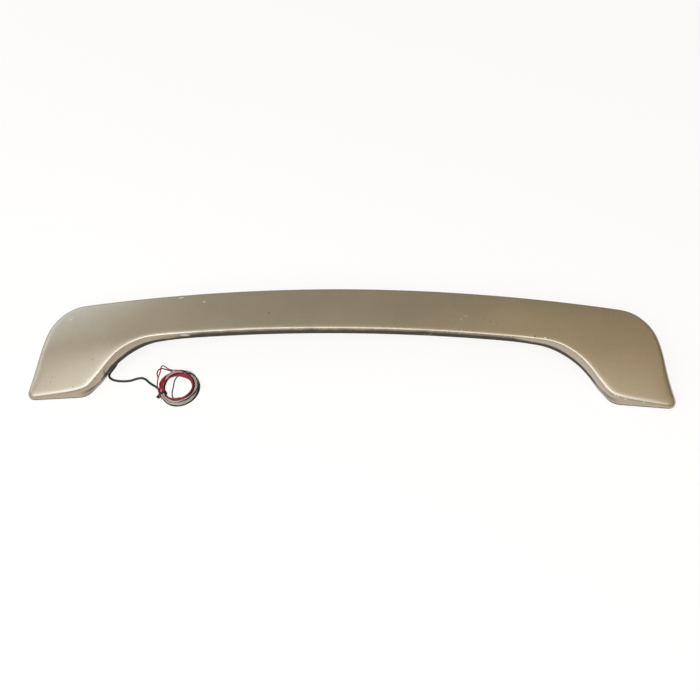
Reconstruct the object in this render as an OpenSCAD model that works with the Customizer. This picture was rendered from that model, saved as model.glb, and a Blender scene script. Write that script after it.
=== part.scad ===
// Rear spoiler for a car's boot lid: a hollow two-piece blade that bridges two feet, with a
// stop lamp in its trailing edge and the lamp's lead coiled beside the left foot.
// X runs across the car, +Y to the rear, and the foam under the feet stands on z = 0.

/* [Blade] */
// Width across the two feet, at the top of their side walls
width = 1232; // [1200:2:1260]
// Chord of the blade on the centre line
chord = 92; // [88:1:98]
// Height of the front edge on the centre line
front_h = 94; // [92:1:100]
// Fall of the top surface from the centre to the sides
arch = 44; // [38:1:46]
// Sweep of both ends towards the front
sweep = 27; // [20:1:32]
// Rise of the top surface for each millimetre towards the rear
tilt = 0.1; // [0.05:0.01:0.14]
// Drop of the top surface at the trailing edge
crown = 2.5; // [0:0.5:4]
// Radius of the long front edge and of the trailing edge
edge_r = 7; // [6:0.5:8]
// Radius along the outer sides of the legs
side_r = 13; // [10:0.5:14]
// Depth of the front wall below its rounded edge
nose_wall = 13.5; // [12:0.5:16]
// Depth of the rear wall below its rounded edge
rear_wall = 18; // [17:0.5:20]
// Thickness of the moulded skins
skin_t = 3; // [2.5:0.5:3.5]
// Clearance between the bonded pieces
seam_gap = 0.3; // [0.2:0.05:0.5]

/* [Legs] */
// How far inside the feet's outer sides the rear outer corners stand, before they are rounded
corner_in = 38; // [31:1:46]
// Radius of the rear outer corners
corner_r = 72; // [70:1:84]
// How far the trailing edge runs forward from the centre to the corners
corner_set = 2; // [0:0.5:4]
// Reach of the feet ahead of the blade's front edge
foot_reach = 89; // [84:1:94]
// Radius of each foot's outer front corner
foot_out_r = 16; // [14:1:20]
// Width of each foot at its front, before its corners are rounded
foot_w = 124; // [120:1:132]
// Radius of each foot's inner front corner
foot_in_r = 42; // [36:1:46]
// How far inside the foot the knee stands, where the blade turns into the leg
knee_step = 72; // [66:1:78]
// Radius of the knees
knee_r = 117; // [110:1:120]
// Fall of the legs for each millimetre towards their front
leg_slope = 0.37; // [0.3:0.01:0.38]
// How far ahead of the front edge the legs start to fall
leg_start = 5; // [0:1:12]
// Length over which the top surface bends into the legs
leg_bend = 30; // [20:1:40]
// Added depth of the front wall where it becomes a leg's inner side
flank_wall = 18.5; // [16:0.5:20]
// How far the front wall and the inner sides lean inward for each millimetre down
flank_lean = 0.2; // [0.1:0.01:0.25]
// How far the outer walls of the legs lean outward for each millimetre down
side_draft = 0.08; // [0.04:0.01:0.1]

/* [Feet] */
// Thickness of the foam under each foot
foam_t = 3; // [2:0.5:4]
// How far the foam stays inside the foot's base
foam_margin = 4; // [3:0.5:6]
// Thickness of the moulded base plate of each foot
base_t = 3; // [2.5:0.5:4]
// Distance of the threaded inserts from the foot's outer side
insert_side = 36; // [34:1:38]
// Distance of the first insert from the foot's front
insert_front = 27; // [24:1:32]
// Distance from one insert to the next along the foot
insert_pitch = 54; // [48:1:56]
// How much further in the rear insert stands
insert_step = 25; // [20:1:28]
// Radius of the thread in each insert
thread_r = 2.5; // [2:0.5:3]
// Outer radius of each insert
insert_r = 4.5; // [4:0.5:5]
// Length of each insert
insert_l = 11; // [8:1:12]
// Wall of the moulded boss around and over each insert
boss_wall = 3; // [2:0.5:3.5]

/* [Stop lamp] */
// Length of the lamp's opening in the trailing edge
lamp_l = 344; // [300:2:360]
// Height of skin left above the lamp's opening
lamp_lip = 2; // [1.5:0.5:3]
// Thickness of the lens
lens_t = 3; // [2:0.5:3]
// Thickness of the seal behind the lens
seal_t = 1; // [0.5:0.5:1.5]
// Depth of the lamp housing behind the seal
housing_d = 13; // [12:0.5:14]
// Wall of the lamp housing
housing_wall = 1.5; // [1:0.25:1.75]
// Length of the solid ends of the housing that take the lens screws
housing_end = 12; // [11:1:16]
// Thickness of the lamp's circuit board
board_t = 1.2; // [1:0.2:1.6]
// Number of lights on the board
led_n = 16; // [12:2:18]
// Width of each light
led_w = 3.5; // [3:0.5:4]
// Radius of the lens screws
screw_r = 1.5; // [1.25:0.25:1.75]
// Radius of the lens screws' heads
screw_head_r = 3.2; // [2.8:0.2:3.4]
// Length of the lens screws
screw_l = 12; // [10:1:13]
// Distance of the spring clips from the centre line
clip_x = 110; // [80:2:130]
// Width of each spring clip
clip_w = 14; // [10:1:18]

/* [Lead] */
// Diameter of the lamp's sheathed lead
lead_d = 4.6; // [4:0.2:5]
// Radius of the rubber grommet's flanges
grommet_r = 8.5; // [8:0.5:9.5]
// Thickness of the grommet's flanges
grommet_flange = 2; // [1.5:0.5:2.5]
// Length of the grommet's nozzle below the skin
nozzle_l = 4; // [3:1:5]
// Inner radius of the coiled wires
coil_in_r = 22; // [18:1:24]
// Outer radius of the coiled wires
coil_out_r = 45; // [43:1:46]
// Height of the coiled wires
coil_h = 9; // [8:1:12]
// Width of the cable tie
tie_w = 3.6; // [2.4:0.2:5]
// Thickness of the cable tie
tie_t = 1.2; // [0.8:0.2:1.4]

/* [Hidden] */
$fn = 48;
half_w = width / 2;
lamp_half = lamp_l / 2;
rim_z = foam_t;

// Steps of the outline: along the lamp, the rest of the blade, the rear of the leg, its rear
// corner, its outer side and half of its front corner
lamp_steps = 5;
blade_steps = 5;
rear_steps = 6;
corner_steps = 10;
side_steps = 7;
front_steps = 4;
// Steps of the outline across the foot's front: half a corner, the straight and half a corner
across_steps = [4, 4, 3];
// Steps of the outline on the inner side of the leg: the knee, the straight, half a corner
knee_steps = 14;
flank_steps = 9;
toe_steps = 4;
blade_rows = lamp_steps + 1 + blade_steps;
rows = blade_rows + rear_steps + corner_steps + side_steps + front_steps;
cols = across_steps[0] + across_steps[1] + across_steps[2];
half_n = 2 * rows + cols;
loop_n = 2 * half_n;
grid_n = (2 * rows + 1) * (cols + 1);
// Width of the step at the end of the lamp's opening
notch_step = 0.8;
// First row and last column of the flat base of a foot
base_row = blade_rows + rear_steps + 3;
base_col = 5;
// Distance of the knee from the centre line, and from the outer side of the leg
knee_x = half_w - foot_w - knee_step;
knee_span = half_w - knee_x;
// Where the rear wall starts to come down to the foot, and the length of that slope
rear_drop_x = knee_x - 0.2 * knee_span;
rear_drop_l = 0.77 * knee_span;
// Share of the chord over which the top surface stays straight before it drops to the rear
crown_from = 0.45;
// Where the legs' outer walls start to lean, and the length over which that grows
draft_x = knee_x - 0.1 * knee_span;
draft_l = 0.56 * knee_span;
// Where the edge's radius starts to grow, and the length over which it does
round_x = half_w - corner_in - 0.2 * knee_span;
round_l = 0.3 * knee_span;
// Largest share of the height that the rounding may take
round_share = 0.7;
// Where the front wall starts to deepen, and the length over which it does
flank_x = knee_x - 0.51 * knee_span;
flank_l = 0.61 * knee_span;

function unit(v) = v / norm(v);
function mix(a, b, t) = a + (b - a) * t;
function smooth(t) = let (s = max(0, min(1, t))) s * s * (3 - 2 * s);
function wrap(a) = a > 180 ? a - 360 : a < -180 ? a + 360 : a;
function flat(lists) = [for (l = lists) for (p = l) p];
function mirrored(p) = [-p[0], p[1], p[2]];
function tri(a, b, c, d) = [[a, b, c], [a, c, d]];
function swept(x) = sweep * pow(x / half_w, 2);

// Points on the arc that rounds corner b of the path a, b, c, for the shares t0 to t1 of its turn
function corner_arc(a, b, c, r, n, t0, t1) =
    let (u = unit(a - b), w = unit(c - b), half = acos(u * w) / 2)
    let (cen = b + unit(u + w) * r / sin(half))
    let (s = b + u * r / tan(half) - cen, e = b + w * r / tan(half) - cen)
    let (a0 = atan2(s[1], s[0]), turn = wrap(atan2(e[1], e[0]) - a0))
    [for (i = [0:n]) let (q = a0 + turn * mix(t0, t1, i / n)) cen + r * [cos(q), sin(q)]];
// Points between p and q, without p and q themselves
function between(p, q, n) = [for (i = [1:1:n - 1]) mix(p, q, i / n)];

// Corners of the right half of the plan, before the ends are swept forward
rear_mid = [0, chord];
rear_corner = [half_w - corner_in, chord - corner_set];
foot_outer = [half_w, -foot_reach];
foot_inner = [half_w - foot_w, -foot_reach];
knee = [knee_x, 0];
front_mid = [0, 0];

rear_arc = corner_arc(rear_mid, rear_corner, foot_outer, corner_r, corner_steps, 0, 1);
front_arc_a = corner_arc(rear_corner, foot_outer, foot_inner, foot_out_r, front_steps, 0, 0.5);
front_arc_b = corner_arc(rear_corner, foot_outer, foot_inner, foot_out_r, across_steps[0], 0.5, 1);
toe_arc_a = corner_arc(foot_outer, foot_inner, knee, foot_in_r, across_steps[2], 0, 0.5);
toe_arc_b = corner_arc(foot_outer, foot_inner, knee, foot_in_r, toe_steps, 0.5, 1);
knee_arc = corner_arc(foot_inner, knee, front_mid, knee_r, knee_steps, 0, 1);
blade_end = knee_arc[knee_steps][0];

// Distances of the blade's rows from the centre line
blade_x = concat(
    [for (i = [0:lamp_steps]) lamp_half * i / lamp_steps],
    [for (i = [0:blade_steps]) mix(lamp_half + notch_step, blade_end, i / blade_steps)]
);
rear_line = [for (x = blade_x) mix(rear_mid, rear_corner, x / rear_corner[0])];
front_line = [for (i = [0:1:blade_rows - 1]) [blade_x[blade_rows - 1 - i], 0]];
plain_half = concat(
    rear_line,
    between(rear_line[blade_rows], rear_arc[0], rear_steps),
    rear_arc,
    between(rear_arc[corner_steps], front_arc_a[0], side_steps),
    front_arc_a,
    [for (i = [1:across_steps[0]]) front_arc_b[i]],
    between(front_arc_b[across_steps[0]], toe_arc_a[0], across_steps[1]),
    toe_arc_a,
    [for (i = [1:toe_steps]) toe_arc_b[i]],
    between(toe_arc_b[toe_steps], knee_arc[0], flank_steps),
    knee_arc,
    front_line
);
swept_half = [for (p = plain_half) [p[0], p[1] - swept(p[0])]];
swept_y = [for (p = swept_half) p[1]];
// Place of the front edge on the centre line, with the middle of the whole at y = 0
front_y = -(max(swept_y) + min(swept_y)) / 2;

// Right half of the outline, at the foot of the rounded edges
line = [for (p = swept_half) [p[0], p[1] + front_y]];

// Height of the top surface, whose legs fall away towards their front
function soft_ramp(q) = (sqrt(q * q + leg_bend * leg_bend) + q) / 2;
function top_z(x, y) =
    let (s = y - front_y + swept(x), rise = max(0, s / chord - crown_from) / (1 - crown_from))
    front_h - arch * pow(x / half_w, 2) + tilt * s
    - leg_slope * soft_ramp(-leg_start - s) - crown * rise * rise;
function slope_along(p, n) = (top_z(p[0] + n[0], p[1] + n[1]) - top_z(p[0] - n[0], p[1] - n[1])) / 2;
function stretch(p) = sqrt(1 + pow(slope_along(p, [1, 0]), 2) + pow(slope_along(p, [0, 1]), 2));

// Outward directions, from the points before and after each point of the outline
function before(h) = h == 0 ? [-line[1][0], line[1][1]] : line[h - 1];
function after(h) = h == half_n ? [-line[h - 1][0], line[h - 1][1]] : line[h + 1];
way = [for (h = [0:half_n]) unit(line[h] - before(h)) + unit(after(h) - line[h])];
out = [for (w = way) unit([-w[1], w[0]])];

// Share of the inner side: 0 on the rear, the outer side and the foot's front, 1 on the flank
inner = [for (h = [0:half_n]) smooth((h - rows - cols + 2) / (toe_steps + 2))];
leg_share = [for (p = line) smooth((p[0] - draft_x) / draft_l)];
tops = [for (p = line) top_z(p[0], p[1])];
edge_rs = [for (h = [0:half_n])
    min(mix(edge_r, side_r, smooth((line[h][0] - round_x) / round_l)), round_share * (tops[h] - rim_z))];
falls = [for (h = [0:half_n]) atan(-slope_along(line[h], out[h]))];
// Share of the outer side, which fades out on the foot's front
outer = [for (h = [0:half_n]) 1 - smooth((h - rows + front_steps) / front_steps)];
leans = [for (h = [0:half_n]) mix(side_draft * leg_share[h] * outer[h], -flank_lean, inner[h])];

// Inner edge of the rounding, inset from the outline moved in by depth t
function round_r(h, t) = max(1, edge_rs[h] - t);
function inset(h, t) = line[h] - out[h] * (t + round_r(h, t) * (1 - sin(falls[h])));
function skin_z(p, t) = top_z(p[0], p[1]) - t * stretch(p);
function round_z(h, t) = skin_z(inset(h, t), t) - round_r(h, t) * cos(falls[h]);

// Heights of the rim that the walls come down to
edge_z = [for (h = [0:half_n]) round_z(h, 0)];
function drop_share(h) = h <= rows ? smooth((line[h][0] - rear_drop_x) / rear_drop_l) : 1;
rear_rim = [for (h = [0:half_n]) mix(edge_z[h] - rear_wall, rim_z, drop_share(h))];
flank_depth = [for (p = line) nose_wall + flank_wall * smooth((p[0] - flank_x) / flank_l)];
rims = [for (h = [0:half_n])
    h <= rows + cols ? rear_rim[h] : max(rim_z, edge_z[h] - flank_depth[h])];
function notched(h) = h <= lamp_steps ? edge_z[h] - lamp_lip : rims[h];

// Rings of one surface of the skin, at depth t: the rounding in n steps, then the wall
function round_ring(t, share) = [for (h = [0:half_n])
    let (q = mix(falls[h], 90, share), r = round_r(h, t), p = line[h] - out[h] * (t + r * (1 - sin(q))))
    [p[0], p[1], round_z(h, t) + r * cos(q)]];
function wall_ring(t, share) = [for (h = [0:half_n])
    let (z = mix(round_z(h, t), notched(h), share), p = line[h] + out[h] * (leans[h] * (edge_z[h] - z) - t))
    [p[0], p[1], z]];
function whole(half) = concat(half, [for (i = [1:1:half_n - 1]) mirrored(half[half_n - i])]);
function skin_rings(t, round_n, wall_n) = concat(
    flat([for (i = [1:round_n]) whole(round_ring(t, i / round_n))]),
    flat([for (i = [1:wall_n]) whole(wall_ring(t, i / wall_n))])
);

// Patch that fills a half outline: straight rows on the blade, a four-sided blend on the leg
function patch(edge, r, k) =
    let (a = edge[r], b = edge[half_n - r], v = k / cols)
    r <= blade_rows ? mix(a, b, v) :
    let (u = (r - blade_rows) / (rows - blade_rows))
    let (a0 = edge[blade_rows], b0 = edge[half_n - blade_rows])
    let (a1 = edge[rows], b1 = edge[rows + cols])
    mix(a, b, v) + mix(mix(a0, b0, v), edge[rows + k], u) - mix(mix(a0, b0, v), mix(a1, b1, v), u);
function grid(edge) = [for (r = [-rows:rows]) for (k = [0:cols])
    let (p = patch(edge, abs(r), k)) [r < 0 ? -p[0] : p[0], p[1]]];

// Point numbers: a grid's own, and those of its edge in the order of the outline
function grid_i(r, k) = (r + rows) * (cols + 1) + k;
function half_i(h, side) =
    h <= rows ? grid_i(side * h, 0) :
    h <= rows + cols ? grid_i(side * rows, h - rows) : grid_i(side * (half_n - h), cols);
function edge_i(j) = j % loop_n <= half_n ? half_i(j % loop_n, 1) : half_i(loop_n - j % loop_n, -1);
function ring_i(base, ring, j) =
    ring == 0 ? base + edge_i(j) : base + grid_n + (ring - 1) * loop_n + j % loop_n;
function grid_faces(base, up) = flat([for (r = [-rows:rows - 1]) for (k = [0:cols - 1])
    let (a = base + grid_i(r, k), b = base + grid_i(r + 1, k))
    up ? tri(a, b, b + 1, a + 1) : tri(a, a + 1, b + 1, b)]);
function ring_faces(base, n, up) = flat([for (g = [0:n - 1]) for (j = [0:loop_n - 1])
    let (a = ring_i(base, g, j + 1), b = ring_i(base, g, j))
    let (c = ring_i(base, g + 1, j), d = ring_i(base, g + 1, j + 1))
    up ? tri(a, b, c, d) : tri(b, a, d, c)]);

outer_round = 6;
outer_wall = 3;
inner_round = 3;
inner_wall = 1;

// Painted upper skin: top surface, rounded edges and walls, open below
module upper_skin() {
    outer_edge = [for (h = [0:half_n]) inset(h, 0)];
    inner_edge = [for (h = [0:half_n]) inset(h, skin_t)];
    outer_grid = [for (p = grid(outer_edge)) [p[0], p[1], skin_z(p, 0)]];
    inner_grid = [for (p = grid(inner_edge)) [p[0], p[1], skin_z(p, skin_t)]];
    outer_rings = skin_rings(0, outer_round, outer_wall);
    inner_rings = skin_rings(skin_t, inner_round, inner_wall);
    base = grid_n + len(outer_rings);
    rim = flat([for (j = [0:loop_n - 1])
        let (a = ring_i(0, outer_round + outer_wall, j), b = ring_i(0, outer_round + outer_wall, j + 1))
        let (c = ring_i(base, inner_round + inner_wall, j), d = ring_i(base, inner_round + inner_wall, j + 1))
        tri(b, a, c, d)]);
    color([0.62, 0.56, 0.47])
        polyhedron(
            points = concat(outer_grid, outer_rings, inner_grid, inner_rings),
            faces = concat(
                grid_faces(0, true), ring_faces(0, outer_round + outer_wall, true), rim,
                grid_faces(base, false), ring_faces(base, inner_round + inner_wall, false)
            ),
            convexity = 8
        );
}

// Outline of the lower skin, inside the walls of the upper one
panel_edge = [for (h = [0:half_n])
    line[h] + out[h] * (leans[h] * (edge_z[h] - rims[h]) - skin_t - seam_gap - abs(leans[h]) * skin_t)];
base_share = base_col / cols;
function panel_z(r, k) =
    mix(rims[r], rims[half_n - r], smooth((k / cols - base_share) / (1 - base_share)));
function panel_point(r, k) =
    let (p = patch(panel_edge, abs(r), k))
    [r < 0 ? -p[0] : p[0], p[1], r == rows || r == -rows ? rim_z : panel_z(abs(r), k)];

// Cells of the lower skin: all of the blade and the legs' inner parts, but for the lead's hole
hole_row = base_row + 2;
hole_col = cols - 2;
function is_hole(r, k) = r == -hole_row && k == hole_col;
function is_cell(r, k) =
    k >= 0 && k < cols && r >= -rows && r < rows && !is_hole(r, k)
    && (max(abs(r), abs(r + 1)) <= base_row || k >= base_col);
function cell_faces(r, k) =
    let (a = grid_i(r, k), b = grid_i(r + 1, k))
    concat(
        tri(grid_n + a, grid_n + b, grid_n + b + 1, grid_n + a + 1),
        tri(a, a + 1, b + 1, b),
        is_cell(r, k - 1) ? [] : tri(grid_n + b, grid_n + a, a, b),
        is_cell(r + 1, k) ? [] : tri(grid_n + b + 1, grid_n + b, b, b + 1),
        is_cell(r, k + 1) ? [] : tri(grid_n + a + 1, grid_n + b + 1, b + 1, a + 1),
        is_cell(r - 1, k) ? [] : tri(grid_n + a, grid_n + a + 1, a + 1, a)
    );

// Black lower skin, which closes the blade and the inner part of each leg
module lower_skin() {
    low = [for (r = [-rows:rows]) for (k = [0:cols]) panel_point(r, k)];
    high = [for (p = low) p + [0, 0, skin_t]];
    color([0.1, 0.1, 0.1])
        polyhedron(
            points = concat(low, high),
            faces = flat([for (r = [-rows:rows - 1]) for (k = [0:cols - 1])
                if (is_cell(r, k)) cell_faces(r, k)]),
            convexity = 8
        );
}

// Outline of a path that runs clockwise, moved inward by d
function right_of(v) = [v[1], -v[0]];
function moved_in(path, d) = [for (i = [0:len(path) - 1])
    let (p = path[i], n = len(path))
    let (u = right_of(unit(p - path[(i + n - 1) % n])), w = right_of(unit(path[(i + 1) % n] - p)))
    p + (u + w) * d / (1 + u * w)];
function flat_point(r, k) = let (p = panel_point(r, k)) [p[0], p[1]];
// Flat part of the right foot, which the lower skin leaves open
foot_path = concat(
    [for (r = [base_row:rows]) flat_point(r, 0)],
    [for (k = [1:base_col]) flat_point(rows, k)],
    [for (r = [rows - 1:-1:base_row]) flat_point(r, base_col)],
    [for (k = [base_col - 1:-1:1]) flat_point(base_row, k)]
);
insert_n = 3;
function insert_at(i) =
    let (x = half_w - insert_side, foot_front = front_y - foot_reach - swept(x))
    [x - (i == insert_n - 1 ? insert_step : 0), foot_front + insert_front + i * insert_pitch];
module at_inserts() {
    for (i = [0:insert_n - 1])
        translate([insert_at(i)[0], insert_at(i)[1], rim_z])
            children();
}

// Base plate of the right foot, with a blind boss over each insert
module foot_base() {
    color([0.12, 0.12, 0.12])
        difference() {
            union() {
                translate([0, 0, rim_z])
                    linear_extrude(base_t)
                        polygon(moved_in(foot_path, seam_gap));
                at_inserts()
                    cylinder(r = insert_r + boss_wall, h = insert_l + boss_wall);
            }
            at_inserts()
                translate([0, 0, -1])
                    cylinder(r = insert_r, h = insert_l + 1);
        }
}
module foot_base_left() { mirror([1, 0, 0]) foot_base(); }
module foot_base_right() { foot_base(); }

// Foam that seals the right foot against the boot lid
foam_hole_r = insert_r + 1;
module foot_foam() {
    color([0.05, 0.05, 0.05])
        difference() {
            linear_extrude(foam_t)
                polygon(moved_in(foot_path, foam_margin));
            at_inserts()
                translate([0, 0, -rim_z - 1])
                    cylinder(r = foam_hole_r, h = foam_t + 2);
        }
}
module foot_foam_left() { mirror([1, 0, 0]) foot_foam(); }
module foot_foam_right() { foot_foam(); }

// Threaded inserts of the right foot
module inserts() {
    color([0.76, 0.62, 0.3])
        at_inserts()
            difference() {
                cylinder(r = insert_r, h = insert_l);
                translate([0, 0, -1])
                    cylinder(r = thread_r, h = insert_l + 2);
            }
}
module inserts_left() { mirror([1, 0, 0]) inserts(); }
module inserts_right() { inserts(); }

// Line of the trailing edge, which the stop lamp follows
edge_y_at = [for (i = [0:blade_rows]) [line[i][0], line[i][1]]];
rim_z_at = [for (i = [0:blade_rows]) [line[i][0], rear_rim[i]]];
function edge_point(x) = [x, lookup(abs(x), edge_y_at), lookup(abs(x), rim_z_at)];
// Solid bar along the trailing edge, whose section [y, z] is counted from the rear wall's rim
module edge_bar(section, half) {
    n = len(section);
    last = 2 * lamp_steps;
    points = [for (i = [0:last]) let (e = edge_point(mix(-half, half, i / last)))
        for (q = section) e + [0, q[0], q[1]]];
    sides = flat([for (i = [0:last - 1]) for (j = [0:n - 1])
        let (a = i * n + j, b = i * n + (j + 1) % n)
        tri(a, a + n, b + n, b)]);
    polyhedron(
        points = points,
        faces = concat(sides, [[for (j = [0:n - 1]) j], [for (j = [n - 1:-1:0]) last * n + j]]),
        convexity = 4
    );
}
function box_section(y0, y1, z0, z1) = [[y0, z0], [y1, z0], [y1, z1], [y0, z1]];
// Bore or pin of radius r and length l, that runs forward from depth y
module edge_pin(x, y, z, r, l) {
    translate(edge_point(x) + [0, y, z])
        rotate([90, 0, 0])
            cylinder(r = r, h = l);
}

lens_half = lamp_half - seam_gap;
lens_h = rear_wall - lamp_lip - 2 * seam_gap;
housing_half = lamp_half - 4;
cavity_half = housing_half - housing_end;
housing_low = skin_t + 0.4;
housing_top = lens_h - 1.6;
housing_rear = -lens_t - seal_t;
housing_front = housing_rear - housing_d;
lamp_mid = (housing_low + housing_top) / 2;
screw_x = housing_half - housing_end / 2;
head_t = 1.8;
head_sink = 0.2;
screw_clear = 0.4;
pilot_clear = 0.1;
led_t = 1.6;
led_h = 2.8;
led_gap = 0.1;
board_low = housing_low + housing_wall + 0.3;
board_top = housing_top - housing_wall - 0.3;
board_rear = housing_front + housing_wall + 4;

// Housing of the stop lamp, open to the rear
module lamp_housing() {
    color([0.15, 0.15, 0.15])
        difference() {
            edge_bar(box_section(housing_front, housing_rear, housing_low, housing_top), housing_half);
            edge_bar(box_section(housing_front + housing_wall, housing_rear + 1,
                housing_low + housing_wall, housing_top - housing_wall), cavity_half);
            for (side = [-1, 1])
                edge_pin(side * screw_x, housing_rear + 1, lamp_mid, screw_r + pilot_clear, screw_l + 1);
        }
}

// Red lens, flush with the trailing edge
module lamp_lens() {
    color([0.55, 0.03, 0.03])
        difference() {
            edge_bar(box_section(-lens_t, 0, seam_gap, seam_gap + lens_h), lens_half);
            for (side = [-1, 1]) {
                edge_pin(side * screw_x, 1, lamp_mid, screw_r + screw_clear, lens_t + 2);
                edge_pin(side * screw_x, 1, lamp_mid, screw_head_r + head_sink, head_t + head_sink + 1);
            }
        }
}

// Foam frame between the lens and the housing
module lamp_seal() {
    color([0.2, 0.2, 0.2])
        difference() {
            edge_bar(box_section(housing_rear, -lens_t, housing_low, housing_top), housing_half);
            edge_bar(box_section(housing_rear - 1, 1 - lens_t,
                housing_low + housing_wall, housing_top - housing_wall), cavity_half);
            for (side = [-1, 1])
                edge_pin(side * screw_x, 1 - lens_t, lamp_mid, screw_r + screw_clear, seal_t + 2);
        }
}

module lamp_board() {
    color([0.1, 0.35, 0.18])
        edge_bar(box_section(board_rear - board_t, board_rear, board_low, board_top), cavity_half - seam_gap);
}

module lamp_leds() {
    reach = cavity_half - 2 * led_w;
    color([0.8, 0.2, 0.2])
        for (i = [0:led_n - 1])
            translate(edge_point(mix(-reach, reach, i / (led_n - 1)))
                + [-led_w / 2, board_rear + led_gap, lamp_mid - led_h / 2])
                cube([led_w, led_t, led_h]);
}

// Screws that hold the lens and the seal on the housing
module lamp_screws() {
    color([0.7, 0.7, 0.72])
        for (side = [-1, 1]) {
            edge_pin(side * screw_x, -head_sink, lamp_mid, screw_head_r, head_t);
            edge_pin(side * screw_x, -head_sink, lamp_mid, screw_r, screw_l);
        }
}

// Bent spring strips between the housing and the skin above it
strip_t = 0.8;
clip_foot = 7;
clip_y = -10;
clip_gap = 0.5;
module lamp_clips() {
    color([0.65, 0.66, 0.68])
        for (side = [-1, 1]) {
            e = edge_point(side * clip_x);
            low = housing_top + seam_gap;
            top = skin_z([e[0], e[1] + clip_y], skin_t) - e[2] - clip_gap;
            translate(e - [clip_w / 2, 0, 0])
                rotate([90, 0, 90])
                    linear_extrude(clip_w)
                        polygon([
                            [clip_y - clip_foot, low],
                            [clip_y, low],
                            [clip_y + 3, low + 1],
                            [clip_y + 1, top],
                            [clip_y - 1, top],
                            [clip_y - 5, top - 3],
                            [clip_y - 4.4, top - 3.6],
                            [clip_y - 1, top - strip_t],
                            [clip_y + 0.2, top - strip_t],
                            [clip_y + 2, low + 1.2],
                            [clip_y - 0.3, low + strip_t],
                            [clip_y - clip_foot, low + strip_t]
                        ]);
        }
}

// Hole of the lead in the lower skin: its middle, and the direction out of it
hole_a = panel_point(-hole_row, hole_col);
hole_b = panel_point(1 - hole_row, hole_col);
hole_c = panel_point(-hole_row, hole_col + 1);
hole_d = panel_point(1 - hole_row, hole_col + 1);
hole_mid = (hole_a + hole_b + hole_c + hole_d) / 4;
hole_way = unit(cross(hole_b - hole_c, hole_d - hole_a));
grommet_neck_r = lead_d / 2 + 1.1;
nozzle_wall = 1.2;
flange_bevel = 0.7;
grommet_gap = 0.55;
nozzle_end = grommet_gap + grommet_flange + nozzle_l;

// Rubber grommet around the lead, with a flange on each side of the lower skin
module lead_grommet() {
    bore_r = lead_d / 2 + 0.1;
    top = skin_t + grommet_gap;
    color([0.07, 0.07, 0.07])
        translate(hole_mid)
            rotate([0, acos(-hole_way[2]), atan2(-hole_way[1], -hole_way[0])])
                rotate_extrude()
                    polygon([
                        [bore_r, -nozzle_end],
                        [bore_r + nozzle_wall, -nozzle_end],
                        [bore_r + 2 * nozzle_wall, -grommet_gap - grommet_flange],
                        [grommet_r, -grommet_gap - grommet_flange + flange_bevel],
                        [grommet_r, -grommet_gap],
                        [grommet_neck_r, -grommet_gap],
                        [grommet_neck_r, top],
                        [grommet_r, top],
                        [grommet_r - flange_bevel, top + grommet_flange],
                        [bore_r, top + grommet_flange]
                    ]);
}

// Smooth path through hand-chosen points, with n steps from each to the next
function knot(p, i) = p[max(0, min(len(p) - 1, i))];
function curve_at(p, i, t) =
    let (a = knot(p, i - 1), b = knot(p, i), c = knot(p, i + 1), d = knot(p, i + 2))
    b + (c - a) * t / 2 + (2 * a - 5 * b + 4 * c - d) * t * t / 2 + (3 * b - a - 3 * c + d) * t * t * t / 2;
function curve(p, n) = concat(
    [for (i = [0:len(p) - 2]) for (j = [0:n - 1]) curve_at(p, i, j / n)],
    [p[len(p) - 1]]
);
function heading(p, i) = unit(knot(p, i + 1) - knot(p, i - 1));
function square_to(v, t) = unit(v - t * (v * t));
// Sideways directions that turn as little as possible from one ring to the next
function sideways(p, start) = [
    for (i = 0, v = square_to(start, heading(p, 0)); i < len(p); i = i + 1,
        v = i < len(p) ? square_to(v, heading(p, i)) : v) v];
tube_sides = 8;
module tube(p, d) {
    side = sideways(p, [0, 1, 0.1]);
    n = tube_sides;
    last = len(p) - 1;
    points = [for (i = [0:last]) let (u = side[i], w = cross(heading(p, i), u))
        for (j = [0:n - 1]) p[i] + (u * cos(360 * j / n) + w * sin(360 * j / n)) * d / 2];
    walls = flat([for (i = [0:last - 1]) for (j = [0:n - 1])
        let (a = i * n + j, b = i * n + (j + 1) % n)
        tri(a, a + n, b + n, b)]);
    polyhedron(
        points = points,
        faces = concat(walls, [[for (j = [0:n - 1]) j], [for (j = [n - 1:-1:0]) last * n + j]]),
        convexity = 6
    );
}

// Route of the lead over the lower skin: row and column of its grid, and height above the saddles
panel_route = [
    [7, 2.3, 0], [8, 4.1, 0], [9, 5, 0], [10, 5.2, 0], [11, 5.8, 0.5], [12, 6.4, 2], [13, 7, 4],
    [14, 7.9, 5.5], [15, 8.3, 5.5], [16, 8.7, 5], [17, 9, 6], [18, 9.2, 9], [19, 9.35, 12],
    [20, 9.45, 14.5], [21, 9.5, 13.5]
];
saddle_low = 2.5;
lead_lift = skin_t + saddle_low + 2 * seam_gap;
lead_bend = 4;
function panel_at(r, k) = let (i = floor(k)) mix(panel_point(r, i), panel_point(r, i + 1), k - i);
lead_on_panel = [for (q = panel_route) panel_at(-q[0], q[1]) + [0, 0, lead_lift + q[2]]];
lead_start = [0, (housing_front + housing_rear) / 2, lamp_mid];
// Route of the lead inside the blade and the left leg, from the lamp to the grommet
lead_inside = concat(
    [for (d = [seam_gap, 10]) edge_point(-housing_half - d) + lead_start],
    lead_on_panel,
    [for (d = [2, 1, 0]) hole_mid - hole_way * (skin_t + grommet_flange + d * lead_bend)],
    [hole_mid + hole_way * nozzle_end]
);
module lamp_lead() {
    color([0.04, 0.04, 0.04])
        tube(lead_inside, lead_d);
}

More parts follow.
